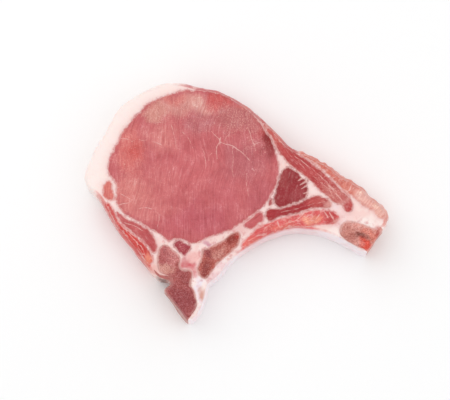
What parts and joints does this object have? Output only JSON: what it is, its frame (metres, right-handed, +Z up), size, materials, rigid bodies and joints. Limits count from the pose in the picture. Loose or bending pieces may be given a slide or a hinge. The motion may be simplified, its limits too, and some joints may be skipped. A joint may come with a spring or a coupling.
{
  "type": "raw pork chop",
  "caption": "Raw bone-in pork rib chop lying flat: a round loin eye under backfat, smaller muscles along a curved rib, and the sawn backbone and rib.",
  "frame": {"origin": "middle of the outline's bounding box, on the surface that the chop lies on", "axes": "+X from the backfat towards the rib end, +Y from the sawn backbone towards the back, +Z up out of the cut face"},
  "size_m": [0.1522, 0.1208, 0.02],
  "materials": {
    "lean": "moist raw meat with a soft gloss",
    "fat": "smooth, slightly greasy",
    "bone": "sawn, porous and moist"
  },
  "bodies": {
    "root": {"fat_web": "fat", "loin_eye": "lean", "eye_tip": "lean", "rib_cap_muscle": "lean", "dark_muscle": "lean", "belly_muscle": "lean", "strip_muscle": "lean", "slit_muscle": "lean", "corner_muscle": "lean", "intercostal_muscle": "lean", "back_muscle_outer": "lean", "back_muscle_inner": "lean", "cap_corner_muscle": "lean", "vertebra": "bone", "rib_head": "bone", "rib_end": "bone"}
  },
  "joints": []
}
